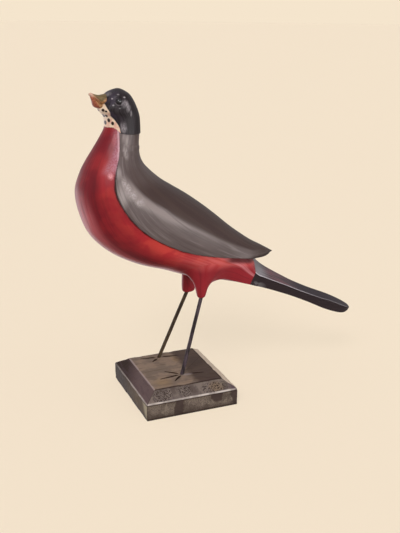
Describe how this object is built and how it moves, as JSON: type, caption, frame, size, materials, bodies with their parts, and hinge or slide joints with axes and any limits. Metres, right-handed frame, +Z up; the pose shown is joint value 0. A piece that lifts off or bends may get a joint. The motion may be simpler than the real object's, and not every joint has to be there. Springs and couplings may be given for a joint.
{
  "type": "robin carving",
  "caption": "Painted wooden robin with a long tail and an upturned beak, standing on wire legs over a wooden block with a bevelled top; a display carving",
  "frame": {"origin": "the middle of the block's underside, on the surface it stands on", "axes": "+X is where the bird looks, +Y is the bird's left side, +Z is up"},
  "size_m": [0.2035, 0.069, 0.206],
  "materials": {
    "oil_paint": "oil paint, satin to gloss, mostly dark red",
    "aged_wood": "worn grey-brown paint over bare wood",
    "wire": "dark iron wire, dull",
    "eye_glass": "polished black glass"
  },
  "bodies": {
    "root": {"bird": "oil_paint", "base_block": "aged_wood", "leg_left": "wire", "leg_right": "wire", "eye_left": "eye_glass", "eye_right": "eye_glass"}
  },
  "joints": []
}
